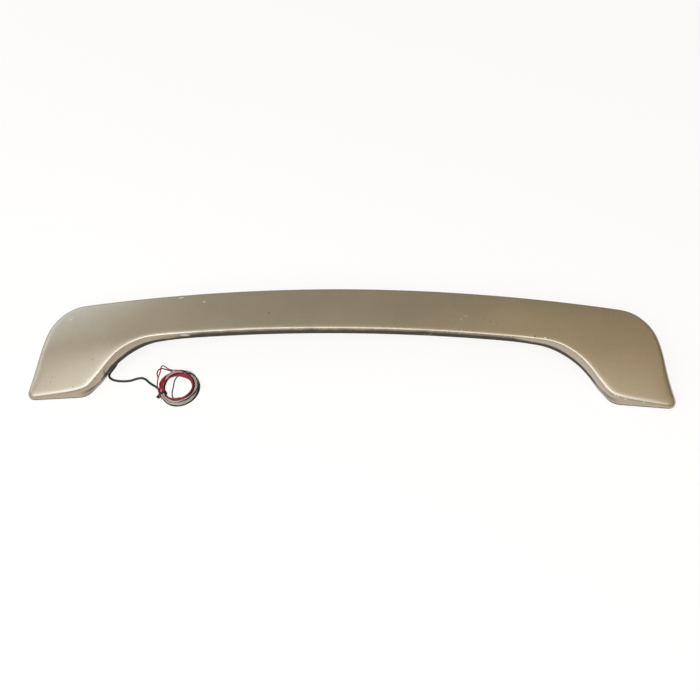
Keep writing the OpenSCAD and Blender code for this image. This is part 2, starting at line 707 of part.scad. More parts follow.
// Saddles that hold the lead on the lower skin
saddle_n = 4;
saddle_l = 10;
saddle_w = 12;
saddle_wall = 1.2;
module lead_clips() {
    hold_r = lead_d / 2 + 1.5 * seam_gap;
    color([0.85, 0.85, 0.82])
        for (i = [0:saddle_n - 1]) {
            way = heading(lead_on_panel, i);
            translate(lead_on_panel[i])
                rotate([0, -asin(way[2]), atan2(way[1], way[0])])
                    difference() {
                        translate([-saddle_l / 2, -saddle_w / 2, -saddle_low])
                            cube([saddle_l, saddle_w, saddle_low + hold_r + saddle_wall]);
                        translate([-saddle_l, 0, 0])
                            rotate([0, 90, 0])
                                cylinder(r = hold_r, h = 2 * saddle_l);
                        translate([-saddle_l, -hold_r, -hold_r - 1])
                            cube([2 * saddle_l, 2 * hold_r, hold_r + 1]);
                    }
        }
}

// Route of the free lead on the floor, from the grommet to the coil, counted from the hole
outer_route = [
    [3.3, -1.6, 7.2], [2.7, -4.6, 4.2], [0.3, -10.6, 2.7], [-3.7, -19.6, 2.4],
    [-7, -27.6, 2.4], [-6.9, -35.6, 2.4], [-0.7, -42.1, 2.4], [9.3, -45.6, 2.4],
    [20.3, -46.6, 2.4], [35.3, -45.6, 2.4], [48.3, -40.6, 2.4], [59.3, -38.6, 2.4],
    [68.3, -42.6, 2.4], [76.3, -50.6, 2.4], [82.8, -59.1, 2.4], [88.5, -66.6, 2.4]
];
below_hole = [hole_mid[0], hole_mid[1], 0];
lead_outside = concat(
    [for (d = [0.1, 1.6, 3.2]) hole_mid + hole_way * (nozzle_end + d)],
    [for (p = outer_route) below_hole + p]
);
module lead_run() {
    color([0.03, 0.03, 0.03])
        tube(curve(lead_outside, 2), lead_d);
}

// Coil of the lamp's three wires
coil_at = below_hole + [135.3, -58.6, 0];
tie_turn = 206;
tie_head = 5.5;
tie_head_l = 4;
module lead_coil() {
    color([0.35, 0.06, 0.06])
        translate(coil_at)
            difference() {
                rotate_extrude($fn = 96)
                    translate([coil_in_r, 0])
                        square([coil_out_r - coil_in_r, coil_h]);
                rotate(tie_turn)
                    translate([0, -tie_w / 2 - seam_gap, -1])
                        cube([coil_out_r + 1, tie_w + 2 * seam_gap, 1 + tie_t + seam_gap]);
            }
}

// Cable tie around one side of the coil, with its head outside
module lead_tie() {
    first = coil_in_r - seam_gap;
    last = coil_out_r + seam_gap;
    color([0.03, 0.03, 0.03])
        translate(coil_at)
            rotate(tie_turn) {
                difference() {
                    translate([first - tie_t, -tie_w / 2, 0])
                        cube([last - first + 2 * tie_t, tie_w, coil_h + seam_gap + tie_t]);
                    translate([first, -tie_w, tie_t])
                        cube([last - first, 2 * tie_w, coil_h + seam_gap - tie_t]);
                }
                translate([last + tie_t, -tie_head / 2, 0])
                    cube([tie_head_l, tie_head, tie_head]);
            }
}

upper_skin();
lower_skin();
foot_base_left();
foot_base_right();
foot_foam_left();
foot_foam_right();
inserts_left();
inserts_right();
lamp_housing();
lamp_lens();
lamp_seal();
lamp_board();
lamp_leds();
lamp_screws();
lamp_clips();
lamp_lead();
lead_clips();
lead_grommet();
lead_run();
lead_coil();
lead_tie();
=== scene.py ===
import itertools
import math
from functools import reduce

import bmesh
import bpy
import numpy as np
from bpy.props import FloatProperty, FloatVectorProperty, IntProperty, PointerProperty
from mathutils import Matrix, Vector
from mathutils.kdtree import KDTree


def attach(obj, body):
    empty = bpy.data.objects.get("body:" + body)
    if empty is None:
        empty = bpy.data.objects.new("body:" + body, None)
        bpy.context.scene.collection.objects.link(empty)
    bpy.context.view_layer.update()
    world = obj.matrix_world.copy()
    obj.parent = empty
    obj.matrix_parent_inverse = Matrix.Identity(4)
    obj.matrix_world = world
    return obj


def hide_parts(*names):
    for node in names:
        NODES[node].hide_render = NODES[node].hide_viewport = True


bl_info = {
    "name": "Boot-lid spoiler",
    "version": (1, 0, 0),
    "blender": (4, 5, 0),
    "location": "3D View > Sidebar > Spoiler",
    "description": "Paints and details the boot-lid spoiler, its stop lamp and its coiled lead",
    "category": "Object",
}

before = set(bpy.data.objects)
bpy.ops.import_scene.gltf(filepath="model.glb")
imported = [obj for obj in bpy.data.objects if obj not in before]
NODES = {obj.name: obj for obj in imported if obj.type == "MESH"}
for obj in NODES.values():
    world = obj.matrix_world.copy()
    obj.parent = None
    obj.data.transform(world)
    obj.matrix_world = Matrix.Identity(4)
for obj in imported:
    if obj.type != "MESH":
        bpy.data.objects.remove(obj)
MM = 0.001
# Points nearer than this, in metres, are merged
DOUBLES = 1e-6


class SpoilerCamera(bpy.types.PropertyGroup):
    azimuth: FloatProperty(
        name="Azimuth", description="Angle of the camera round the part",
        default=math.radians(6.38), subtype="ANGLE",
    )
    elevation: FloatProperty(
        name="Elevation", description="Angle of the camera above the floor",
        default=math.radians(53.016), subtype="ANGLE",
    )
    roll: FloatProperty(
        name="Roll", description="Turn of the picture about its middle",
        default=math.radians(-4.553), subtype="ANGLE",
    )
    distance: FloatProperty(
        name="Distance", description="Distance from the point aimed at",
        default=1.75, unit="LENGTH",
    )
    focal_length: FloatProperty(
        name="Focal length", description="Focal length on a sensor 36 mm wide",
        default=47.194, unit="CAMERA",
    )
    aim: FloatVectorProperty(
        name="Aim", description="Point that the camera looks at",
        default=(0.008313, -0.006587, 0.045), subtype="TRANSLATION",
    )


class SpoilerLead(bpy.types.PropertyGroup):
    sheath_diameter: FloatProperty(
        name="Sheath", description="Diameter of the sheathed lead",
        default=0.0046, unit="LENGTH",
    )
    wire_diameter: FloatProperty(
        name="Wire", description="Diameter of each insulated wire",
        default=0.0024, unit="LENGTH",
    )
    strip_length: FloatProperty(
        name="Bare end", description="Length of bare copper at each wire's end",
        default=0.006, unit="LENGTH",
    )
    black: FloatVectorProperty(
        name="Black wire", description="Colour of the black insulation",
        default=(0.012, 0.011, 0.011), subtype="COLOR",
    )
    red: FloatVectorProperty(
        name="Red wire", description="Colour of the red insulation",
        default=(0.36, 0.018, 0.022), subtype="COLOR",
    )
    white: FloatVectorProperty(
        name="White wire", description="Colour of the white insulation",
        default=(0.43, 0.39, 0.335), subtype="COLOR",
    )


class SpoilerPaint(bpy.types.PropertyGroup):
    colour: FloatVectorProperty(
        name="Colour", description="Colour of the metallic base coat",
        default=(0.42, 0.32, 0.182), subtype="COLOR",
    )
    deep: FloatVectorProperty(
        name="Deep colour", description="Colour of the base coat where its flakes lie dark",
        default=(0.33, 0.252, 0.143), subtype="COLOR",
    )
    primer: FloatVectorProperty(
        name="Primer", description="Colour under chipped paint",
        default=(0.62, 0.6, 0.55), subtype="COLOR",
    )
    roughness: FloatProperty(
        name="Roughness", description="Roughness of the base coat",
        default=0.4, min=0, max=1,
    )
    metallic: FloatProperty(
        name="Metallic", description="Share of the base coat that shines like metal",
        default=0.5, min=0, max=1,
    )
    # Painted shade: this dark colour darkens the lower walls and the rim, where they lie in shade
    painted_shade: FloatVectorProperty(
        name="Grime", description="Colour of the road dirt and bare undercoat along the lower edges",
        default=(0.035, 0.028, 0.02), subtype="COLOR",
    )
    wear: FloatProperty(
        name="Wear", description="Strength of scuffs, scratches and chips",
        default=1.0, min=0, max=1,
    )


class SpoilerLamp(bpy.types.PropertyGroup):
    lens: FloatVectorProperty(
        name="Lens", description="Colour of the lens",
        default=(0.42, 0.007, 0.009), subtype="COLOR",
    )
    flute_pitch: FloatProperty(
        name="Flute pitch", description="Distance between the lens's upright flutes",
        default=0.004, unit="LENGTH",
    )
    flute_depth: FloatProperty(
        name="Flute depth", description="Depth of the lens's flutes",
        default=0.0004, unit="LENGTH",
    )


class SpoilerFeet(bpy.types.PropertyGroup):
    thread_pitch: FloatProperty(
        name="Thread pitch", description="Pitch of the thread in the inserts",
        default=0.001, unit="LENGTH",
    )
    facets: IntProperty(
        name="Facets", description="Number of facets round each insert",
        default=48, min=3,
    )


class SpoilerStage(bpy.types.PropertyGroup):
    floor: FloatVectorProperty(
        name="Floor", description="Colour of the floor as it lights the part",
        default=(0.17, 0.15, 0.13), subtype="COLOR",
    )
    window: FloatProperty(
        name="Window", description="Strength of the large cool light at the left",
        default=19.0, min=0,
    )
    front: FloatProperty(
        name="Front", description="Strength of the long light above the front",
        default=51.0, min=0,
    )
    left_lamp: FloatProperty(
        name="Left lamp", description="Strength of the small light above the left foot",
        default=5.0, min=0,
    )
    right_lamp: FloatProperty(
        name="Right lamp", description="Strength of the warm light above the right foot",
        default=3.0, min=0,
    )
    sky: FloatProperty(
        name="Sky", description="Strength of the even light from all round",
        default=0.34, min=0,
    )


def settings(name):
    """The scene's values of one property group."""
    return getattr(bpy.context.scene, "spoiler_" + name)


# Materials

class Link:
    """A socket of a shader, for use in sums and products."""

    def __init__(self, finish, socket):
        self.finish = finish
        self.socket = socket

    def math(self, operation, *values):
        return self.finish.node("Math", {"operation": operation}, dict(enumerate(values)))

    def __add__(self, other):
        return self.math("ADD", self, other)

    def __radd__(self, other):
        return self.math("ADD", other, self)

    def __sub__(self, other):
        return self.math("SUBTRACT", self, other)

    def __rsub__(self, other):
        return self.math("SUBTRACT", other, self)

    def __mul__(self, other):
        return self.math("MULTIPLY", self, other)

    def __rmul__(self, other):
        return self.math("MULTIPLY", other, self)

    def more(self, other):
        """The larger of two masks."""
        return self.math("MAXIMUM", self, other)


class Finish:
    """The nodes of a material or a world, laid out by methods."""

    def __init__(self, data):
        data.use_nodes = True
        self.data = data
        self.tree = data.node_tree
        self.tree.nodes.clear()
        self.place = self.node("TexCoord", {}, {}, "Object")

    def node(self, kind, options, sockets, output=0):
        """Adds a node, sets its options, links or sets its sockets, and gives one of its outputs."""
        node = self.tree.nodes.new("ShaderNode" + kind)
        for name, value in options.items():
            setattr(node, name, value)
        for name, value in sockets.items():
            socket = node.inputs[name]
            if isinstance(value, Link):
                self.tree.links.new(value.socket, socket)
            elif hasattr(value, "__len__"):
                socket.default_value = tuple(value) + (1.0,) * (len(socket.default_value) - len(value))
            else:
                socket.default_value = value
        return Link(self, node.outputs[output]) if node.outputs else None

    def ray(self, kind):
        return self.node("LightPath", {}, {}, "Is " + kind + " Ray")

    def noise(self, scale, detail=2.0, roughness=0.5, at=None):
        sockets = {"Vector": at or self.place, "Scale": scale, "Detail": detail, "Roughness": roughness}
        return self.node("TexNoise", {}, sockets)

    def cells(self, scale, output="Color", feature="F1"):
        sockets = {"Vector": self.place, "Scale": scale}
        return self.node("TexVoronoi", {"feature": feature}, sockets, output)

    def moved(self, location=(0, 0, 0), rotation=(0, 0, 0), scale=(1, 1, 1)):
        """The place, moved by location, turned by rotation and then scaled."""
        place = self.place
        for name, value in (("Location", location), ("Rotation", rotation), ("Scale", scale)):
            place = self.node("Mapping", {"vector_type": "POINT"}, {"Vector": place, name: value})
        return place

    def step(self, value, low, high):
        """Rises smoothly from 0 to 1 as value goes from low to high."""
        sockets = {"Value": value, "From Min": low, "From Max": high}
        return self.node("MapRange", {"interpolation_type": "SMOOTHSTEP"}, sockets)

    def mix(self, factor, a, b):
        return self.node("Mix", {"data_type": "RGBA"}, {0: factor, 6: a, 7: b}, 2)

    def bump(self, height, distance, strength):
        return self.node("Bump", {}, {"Height": height, "Distance": distance, "Strength": strength})

    def axis(self, name, at=None):
        return self.node("SeparateXYZ", {}, {"Vector": at or self.place}, name)

    def attribute(self, name):
        return self.node("Attribute", {"attribute_type": "GEOMETRY", "attribute_name": name}, {}, "Fac")

    def surface(self, **sockets):
        """A Principled surface, with its sockets named in lower case and with underscores."""
        named = {key.replace("_", " ").title().replace("Ior", "IOR"): value for key, value in sockets.items()}
        return self.show(self.node("BsdfPrincipled", {}, named))

    def show(self, shader, output="OutputMaterial"):
        self.node(output, {}, {"Surface": shader})
        return self.data


def finish_named(name):
    return Finish(bpy.data.materials.new(name))


# Marks on the paint: middle, half length and half width in mm, angle in degrees, and strength
MARKS = [
    (-325, 85, 87.4, 8, 2.2, 8, 0.75), (-277, 73, 90, 4, 1.6, -25, 0.8),
    (-543, 49, 64.1, 7, 2.4, 40, 0.45), (-308, 5.5, 71.5, 12, 5, 3, 1.0),
    (218, 36, 88.9, 5, 0.9, 62, 0.55), (227, 43, 89.6, 6, 0.8, 30, 0.5),
    (218, 11.5, 83, 2.4, 2.2, -20, 0.7), (374, 5, 72.5, 2.4, 2.4, -10, 0.7),
    (499, -90, 25, 3.0, 2.4, -12, 0.8), (504, -91, 23.8, 2.0, 2.4, -14, 0.7),
    (518, -95, 20.7, 3.4, 2.2, -12, 0.8), (551, -98, 15, 2.6, 2.0, 0, 0.7),
    (-80, 40, 92, 18, 0.4, -12, 0.22), (80, 60, 93, 12, 0.4, 20, 0.2), (430, 55, 74, 11, 0.5, 60, 0.2),
]
# Dark specks on the paint: middle and radius in mm
SPECKS = [
    (-484, -40, 50.1, 1.3), (-519, -87, 26.3, 1.4), (-566, -77, 26.8, 1.2), (-147, 44, 93, 1.3),
    (354.5, 7, 74, 2.0), (262, 38, 87.2, 0.9), (274, 33, 86, 1.0), (284, 30, 84.6, 0.8),
    (95, 22, 90, 0.7),
]
# Half of the height in mm over which a mark reaches
MARK_DEPTH = 4.5
DUST = (0.55, 0.5, 0.42)
SCUFF = (0.66, 0.62, 0.54)
SPECK = (0.03, 0.025, 0.02)
# How strongly the painted shade darkens the lower walls and the rim
PAINTED_SHADE_STRENGTH = 0.92


def spot(finish, middle, size, angle=0):
    """Distance from the middle of a mark, which is 1 at its edge."""
    shrink = [1 / (s * MM) for s in size]
    moved = finish.moved([-c * MM for c in middle], (0, 0, math.radians(-angle)), shrink)
    return finish.node("VectorMath", {"operation": "LENGTH"}, {0: moved}, "Value")


def scratch_mask(finish):
    """Pale marks where something rubbed the paint."""
    grain = finish.noise(900, 3.0, 0.6) * 1.1
    return reduce(Link.more, (
        finish.step(spot(finish, (x, y, z), (length, width, MARK_DEPTH), angle) + grain, 1.55, 1.0) * strength
        for x, y, z, length, width, angle, strength in MARKS
    ))


def speck_mask(finish):
    """Small dark specks of dirt."""
    return reduce(Link.more, (
        finish.step(spot(finish, (x, y, z), (radius, radius, MARK_DEPTH)), 1.0, 0.6)
        for x, y, z, radius in SPECKS
    ))


def champagne_paint():
    """Clear-coated metallic paint with dust, scuffs, chips down to the primer, and a painted shade that
    darkens the lower walls.
    """
    paint = settings("paint")
    m = finish_named("champagne_paint")
    flake = m.axis("X", m.cells(1500))
    cloud = m.noise(5.5, 3.0, 0.55)
    base = m.mix(m.step(flake * 0.35 + cloud * 0.65, 0.25, 0.75), paint.deep, paint.colour)
    dust = m.step(m.noise(16, 5.0, 0.65), 0.48, 0.78) * m.step(m.noise(240, 2.0), 0.35, 0.7)
    hair_at = m.moved(rotation=(0, 0, 0.5), scale=(6, 240, 6))
    hairs = m.step(m.noise(1.0, 2.0, 0.5, hair_at), 0.66, 0.72) * m.step(m.noise(11), 0.5, 0.62)
    # Wear, which grows towards the lower rim
    rim = m.attribute("rim")
    chips = m.step(m.noise(210, 3.0, 0.6) + rim * rim * 0.15 * paint.wear, 0.80, 0.84)
    rubbed = m.step(m.noise(60, 4.0, 0.6) + rim * 0.12 * paint.wear, 0.70, 0.82)
    marks = scratch_mask(m) * paint.wear
    pale = (hairs * 0.12).more(marks).more(rubbed * 0.35)
    # Painted shade: dark colour at the very rim all round, and above it on the walls of the blade and the
    # legs, but not on the feet
    height_up = m.axis("Z")
    across = m.node("Math", {"operation": "ABSOLUTE"}, {0: m.axis("X")})
    on_leg = m.step(across, 0.515, 0.485) * m.step(height_up, 0.004, 0.02)
    high = m.step(height_up, 0.02, 0.045).more(on_leg)
    edge = m.step(rim, 0.84, 0.96)
    ragged = rim + (m.noise(45, 4.0, 0.6) - 0.5) * 0.2
    painted_shade = (m.step(ragged, 0.1, 0.4) * high).more(edge) * PAINTED_SHADE_STRENGTH * (1 - marks)
    colour = m.mix(dust * 0.10, base, DUST)
    # The painted shade is laid over the paint's colour here
    colour = m.mix(painted_shade, colour, paint.painted_shade)
    colour = m.mix(pale, colour, SCUFF)
    colour = m.mix(chips, colour, paint.primer)
    colour = m.mix(speck_mask(m), colour, SPECK)
    # Chips and scratches, and the painted shade, take away the metallic shine
    wear_and_painted_shade = chips.more(marks).more(painted_shade)
    peel = m.noise(320, 2.0)
    height = peel * 0.012 + flake * 0.01 - chips.more(marks) * 0.35
    # The painted shade also roughens the paint and takes its clear coat away
    return m.surface(
        base_color=colour,
        metallic=paint.metallic * (1 - wear_and_painted_shade),
        specular_ior_level=0.2,
        roughness=paint.roughness + dust * 0.12 + pale * 0.2 + painted_shade * 0.35,
        coat_weight=1 - pale.more(chips).more(painted_shade),
        coat_roughness=0.27,
        coat_ior=2.2,
        normal=m.bump(height, 0.0006, 0.5),
    )


def moulded_plastic(name, colour=(0.016, 0.016, 0.016), grain=1500, roughness=0.55):
    """Grained plastic with a little dust."""
    m = finish_named(name)
    pits = m.noise(grain, 2.0, 0.6)
    dust = m.step(m.noise(20, 5.0, 0.6), 0.45, 0.8)
    return m.surface(
        base_color=m.mix(dust * 0.16, colour, (0.22, 0.2, 0.17)),
        roughness=roughness + dust * 0.18,
        normal=m.bump(pits, 0.0002, 0.5),
    )


def soft_foam(name):
    """Black foam with open pores and some dirt."""
    m = finish_named(name)
    pores = m.cells(900, "Distance")
    clean = m.mix(pores, (0.018, 0.018, 0.019), (0.05, 0.05, 0.05))
    dirt = m.step(m.noise(40, 4.0, 0.6), 0.5, 0.8)
    return m.surface(
        base_color=m.mix(dirt * 0.3, clean, (0.16, 0.14, 0.11)),
        roughness=0.92,
        specular_ior_level=0.2,
        normal=m.bump(pores, 0.0005, 0.8),
    )


def soft_rubber():
    """Matt black rubber."""
    m = finish_named("rubber")
    cloud = m.noise(60, 3.0)
    return m.surface(
        base_color=m.mix(cloud, (0.012, 0.012, 0.012), (0.03, 0.029, 0.027)),
        roughness=0.62 + cloud * 0.15,
        normal=m.bump(m.noise(700), 0.0002, 0.4),
    )


def machined_metal(name, colour, dull, roughness):
    """Turned metal with tool rings and tarnish."""
    m = finish_named(name)
    tarnish = m.step(m.noise(130, 4.0, 0.6), 0.4, 0.75)
    rings = m.noise(1.0, 1.0, 0.5, m.moved(scale=(60, 60, 5200)))
    return m.surface(
        base_color=m.mix(tarnish * 0.7, colour, dull),
        metallic=1.0,
        roughness=roughness + tarnish * 0.2,
        normal=m.bump(rings, 0.0001, 0.35),
    )


def natural_nylon():
    """Uncoloured nylon, which lets a little light in."""
    m = finish_named("nylon")
    cloud = m.noise(90, 3.0)
    return m.surface(
        base_color=m.mix(cloud, (0.55, 0.53, 0.46), (0.68, 0.66, 0.6)),
        roughness=0.45 + cloud * 0.1,
        subsurface_weight=0.15,
        subsurface_scale=0.002,
        normal=m.bump(m.noise(900), 0.0001, 0.3),
    )


def red_lens():
    """Red lens with upright flutes and smears."""
    lamp = settings("lamp")
    m = finish_named("lens")
    cloud = m.noise(14, 3.0)
    smears = m.step(m.noise(55, 4.0, 0.6), 0.5, 0.8)
    across = m.axis("X") * (2 * math.pi / lamp.flute_pitch)
    flutes = m.node("Math", {"operation": "COSINE"}, {0: across}) * 0.5 + 0.5
    dark = [c * 0.45 for c in lamp.lens]
    # The flutes' troughs are painted darker and their crests lighter: painted shade and highlight across the
    # flutes
    return m.surface(
        base_color=m.mix(flutes * 0.7 + cloud * 0.3, dark, lamp.lens),
        roughness=0.1 + smears * 0.16,
        specular_ior_level=0.3,
        coat_weight=0.5,
        coat_roughness=0.05,
        normal=m.bump(flutes, lamp.flute_depth, 0.6),
    )


def circuit_board():
    """Green board with paler tracks."""
    m = finish_named("circuit_board")
    tracks = m.step(m.cells(260, "Distance", feature="DISTANCE_TO_EDGE"), 0.1, 0.04)
    return m.surface(
        base_color=m.mix(tracks, (0.02, 0.10, 0.035), (0.05, 0.20, 0.08)),
        roughness=0.35 + m.noise(80) * 0.15,
        normal=m.bump(tracks, 0.0001, 0.5),
    )


def insulation(name, colour, roughness):
    """Wire insulation, with slight scuffs along it."""
    m = finish_named(name)
    dirt = m.step(m.noise(120, 4.0, 0.65), 0.5, 0.85)
    dull = [c * 0.55 + 0.02 for c in colour]
    return m.surface(
        base_color=m.mix(dirt * 0.6, colour, dull),
        roughness=roughness + dirt * 0.25,
        normal=m.bump(m.noise(500), 0.0002, 0.25),
    )


# Meshes

def declare(piece, replaces):
    """Puts a piece in the scene, hangs it on the part's root, and hides the nodes that it stands for."""
    bpy.context.scene.collection.objects.link(piece)
    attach(piece, "root")
    if replaces:
        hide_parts(*replaces)
    return piece


def put_away(bm, name, finish, smooth=35, replaces=()):
    """Turns a bmesh into a piece that rides on the part."""
    bmesh.ops.remove_doubles(bm, verts=bm.verts, dist=DOUBLES)
    mesh = bpy.data.meshes.new(name)
    bm.to_mesh(mesh)
    bm.free()
    mesh.shade_smooth()
    mesh.set_sharp_from_angle(angle=math.radians(smooth))
    mesh.materials.append(finish)
    return declare(bpy.data.objects.new(name, mesh), replaces)


def merged_copy(node, quads=True):
    """A bmesh of a node's mesh with its doubles merged, and its triangles joined in pairs."""
    bm = bmesh.new()
    bm.from_mesh(NODES[node].data)
    bmesh.ops.remove_doubles(bm, verts=bm.verts, dist=DOUBLES)
    if quads:
        bmesh.ops.join_triangles(
            bm, faces=bm.faces,
            angle_face_threshold=math.radians(40), angle_shape_threshold=math.radians(180),
        )
    return bm


def sharp_edges(bm, angle):
    """The edges whose two faces meet at more than angle, in degrees."""
    return [e for e in bm.edges if len(e.link_faces) == 2 and e.calc_face_angle() > math.radians(angle)]


def bevel_edges(bm, edges, offset):
    """Rounds edges, with two faces across each."""
    bmesh.ops.bevel(
        bm, geom=edges, offset=offset, offset_type="OFFSET", segments=2, profile=0.5, material=-1,
        affect="EDGES", clamp_overlap=True,
    )


def soften_corners(bm, flat, offset):
    """Joins the faces that meet at less than flat, in degrees, and bevels the corners."""
    bmesh.ops.dissolve_limit(bm, angle_limit=math.radians(flat), verts=bm.verts, edges=bm.edges)
    bevel_edges(bm, sharp_edges(bm, 60), offset)


def turn_profile(bm, profile, centre, steps):
    """Turns a closed profile about the upright line through centre."""
    verts = [bm.verts.new(point) for point in profile]
    edges = [bm.edges.new((a, b)) for a, b in zip(verts, verts[1:] + verts[:1])]
    bmesh.ops.spin(
        bm, geom=verts + edges, cent=centre, axis=(0, 0, 1), angle=math.tau, steps=steps,
        use_merge=True, use_duplicate=False,
    )


def facing(way):
    """The turn that brings the Z axis round to way."""
    return Vector(way).to_track_quat("Z", "Y").to_matrix().to_4x4()


def add_subdivision(piece, levels):
    """Rounds a piece, and holds its corners sharp."""
    bm = bmesh.new()
    bm.from_mesh(piece.data)
    crease = bm.edges.layers.float.new("crease_edge")
    for edge in sharp_edges(bm, 50):
        edge[crease] = 0.9
    bm.to_mesh(piece.data)
    bm.free()
    modifier = piece.modifiers.new("Subdivision", "SUBSURF")
    modifier.levels = levels
    modifier.render_levels = levels


def paint_node(node, finish):
    """Gives a solid that stays as it is its finish."""
    mesh = NODES[node].data
    mesh.materials.clear()
    mesh.materials.append(finish)


def open_curve(name, points, diameter, finish, replaces):
    """A round cord along points, in metres."""
    data = bpy.data.curves.new(name, "CURVE")
    data.dimensions = "3D"
    data.bevel_depth = diameter / 2
    data.bevel_resolution = 4
    data.use_fill_caps = True
    data.resolution_u = 1
    spline = data.splines.new("POLY")
    spline.points.add(len(points) - 1)
    for knot, point in zip(spline.points, points):
        knot.co = (*point, 1.0)
    spline.use_smooth = True
    data.materials.append(finish)
    return declare(bpy.data.objects.new(name, data), replaces)


def through(points, steps):
    """Catmull-Rom curve through points, with steps from each to the next."""
    p = np.array(points, float)
    p = np.vstack([p[:1], p, p[-1:]])
    curve = []
    for a, b, c, d in zip(p, p[1:], p[2:], p[3:]):
        for i in range(steps):
            t = i / steps
            square = (2 * a - 5 * b + 4 * c - d) * t**2 / 2
            cube = (3 * b - a - 3 * c + d) * t**3 / 2
            curve.append(b + (c - a) * t / 2 + square + cube)
    curve.append(p[-1])
    return np.array(curve)


# The lead. All places and lengths in mm, in the part's frame.

# The hole in the left leg, the way out of it, and how far the grommet's nozzle reaches
HOLE = np.array([-456.535, -9.221, 18.402])
HOLE_WAY = np.array([0.33828, -0.02412, -0.94074])
NOZZLE_END = 6.55
# The sheathed lead, from the hole to the coil
LEAD_ROUTE = [
    (-452.98, -11.00, 7.2), (-453.58, -14.00, 4.2), (-455.98, -20.00, 2.7), (-459.98, -29.00, 2.4),
    (-463.28, -37.00, 2.4), (-463.18, -45.00, 2.4), (-456.98, -51.50, 2.4), (-446.98, -55.00, 2.4),
    (-435.98, -56.00, 2.4), (-420.98, -55.00, 2.4), (-407.98, -50.00, 2.4), (-397.98, -48.00, 2.4),
    (-389.50, -51.20, 2.4), (-381.50, -58.20, 2.4), (-373.50, -63.80, 2.4), (-366.50, -68.20, 2.4),
    (-360.20, -73.60, 2.4), (-356.20, -80.00, 2.6),
]
COIL = np.array([-320.981, -67.996])
# The tie: its place round the coil in degrees, its thickness, its width and the radius of its corners
TIE_TURN = 213
TIE_THICK = 1.1
TIE_WIDE = 3.6
TIE_CORNER = 2.2
# The coil's inner and outer radius round its turn, in degrees
RIM = [
    (0, 21, 41), (45, 21, 39), (90, 22, 37), (120, 24, 39.5), (135, 25, 41.5), (160, 27, 42), (180, 26.5, 40),
    (190, 25.5, 36.5), (200, 24.5, 35), (213, 24, 37.5), (225, 24.5, 39), (240, 25, 41.5), (270, 25, 44.5),
    (300, 24, 44), (330, 22.5, 42.5), (360, 21, 41),
]
# Lanes of the wires in the coil: angle travelled from the start in degrees, and radius
LANES = {
    "black": [
        (203, 36.5), (225, 38.5), (270, 42), (360, 41), (450, 36), (540, 38), (630, 41.5), (720, 38),
        (805, 33), (828, 28), (850, 16), (870, 12.5), (900, 11), (930, 12.5), (950, 16), (972, 27),
        (990, 31), (1080, 34), (1170, 33), (1260, 31), (1350, 36), (1440, 38), (1530, 33), (1620, 29),
        (1710, 29), (1800, 28), (1860, 32), (1890, 36), (1912, 39.5),
    ],
    "red": [
        (203, 38), (225, 37), (270, 36), (360, 33), (450, 35), (540, 41), (630, 33), (720, 30), (810, 31),
        (900, 40), (990, 35), (1080, 27.5), (1170, 28), (1260, 37), (1350, 33), (1440, 25.4),
        (1530, 26), (1620, 33.5), (1710, 28), (1800, 26), (1850, 29), (1880, 34), (1908, 38.5),
    ],
    "white": [
        (203, 37), (225, 38), (270, 38.5), (360, 37), (450, 36), (540, 36), (630, 37), (720, 38),
        (810, 36), (900, 34), (990, 42), (1080, 36.5), (1170, 35), (1260, 33), (1350, 40.5),
        (1440, 35), (1530, 34), (1620, 31.5), (1710, 37), (1800, 33.5), (1880, 34),
    ],
}
# What each wire does after its last turn, counted from the coil's middle
TAILS = {
    "black": [
        (-27, 38.6, 3.6), (-36, 42, 2.8), (-43, 43.6, 2.0), (-48, 40, 1.5),
        (-49.3, 33.5, 1.3), (-47.5, 26, 1.2),
    ],
    "red": [
        (-22, 38.5, 5.2), (-30, 42.8, 4.6), (-36.5, 48, 4.0), (-40.8, 48.6, 4.2), (-43, 44, 4.2),
        (-42.6, 36, 3.6), (-44, 26, 3.0), (-44.9, 15, 2.2), (-43.9, 7, 2.6), (-42.6, 1, 4.4),
        (-40.9, -4.5, 5.9), (-38.6, -10, 5.9), (-36, -15.5, 5.4), (-33.8, -20, 4.6), (-31.5, -24.5, 3.8),
    ],
    "white": [(-14, 33, 6.9), (-22, 29, 7.2), (-27.5, 23, 7.2)],
}


# How the wires are wound
WINDING_ORDER = ("black", "white", "red")
FIRST_TURN = 4  # degrees from a lane's first knot to the wire's first point
TURN_STEP = 5  # degrees from point to point
START_LIFT = 0.1  # height of the first wire's start above the floor
WIRE_RISE = 0.3  # from one wire's start to the next one's
TURN_RISE = 1.15  # that a wire climbs in a turn
PLAY = 0.05  # between the wires, and under them
HIGHEST = 8.0  # a wire's middle in the coil
LOOSE_POINTS = 7  # points at each end of a wire that may leave the coil
ROUNDS = 260  # in each of which the wires are pushed apart
SETTLING_ROUNDS = 245  # the first of them, in which the wires settle too
SMOOTHING = 0.2  # share of a point's bend that goes in a round
PULL_TO_LANE = 0.04  # share of a point's way to its lane that it goes in a round
SINKING = 0.03  # that a wire sinks in a round


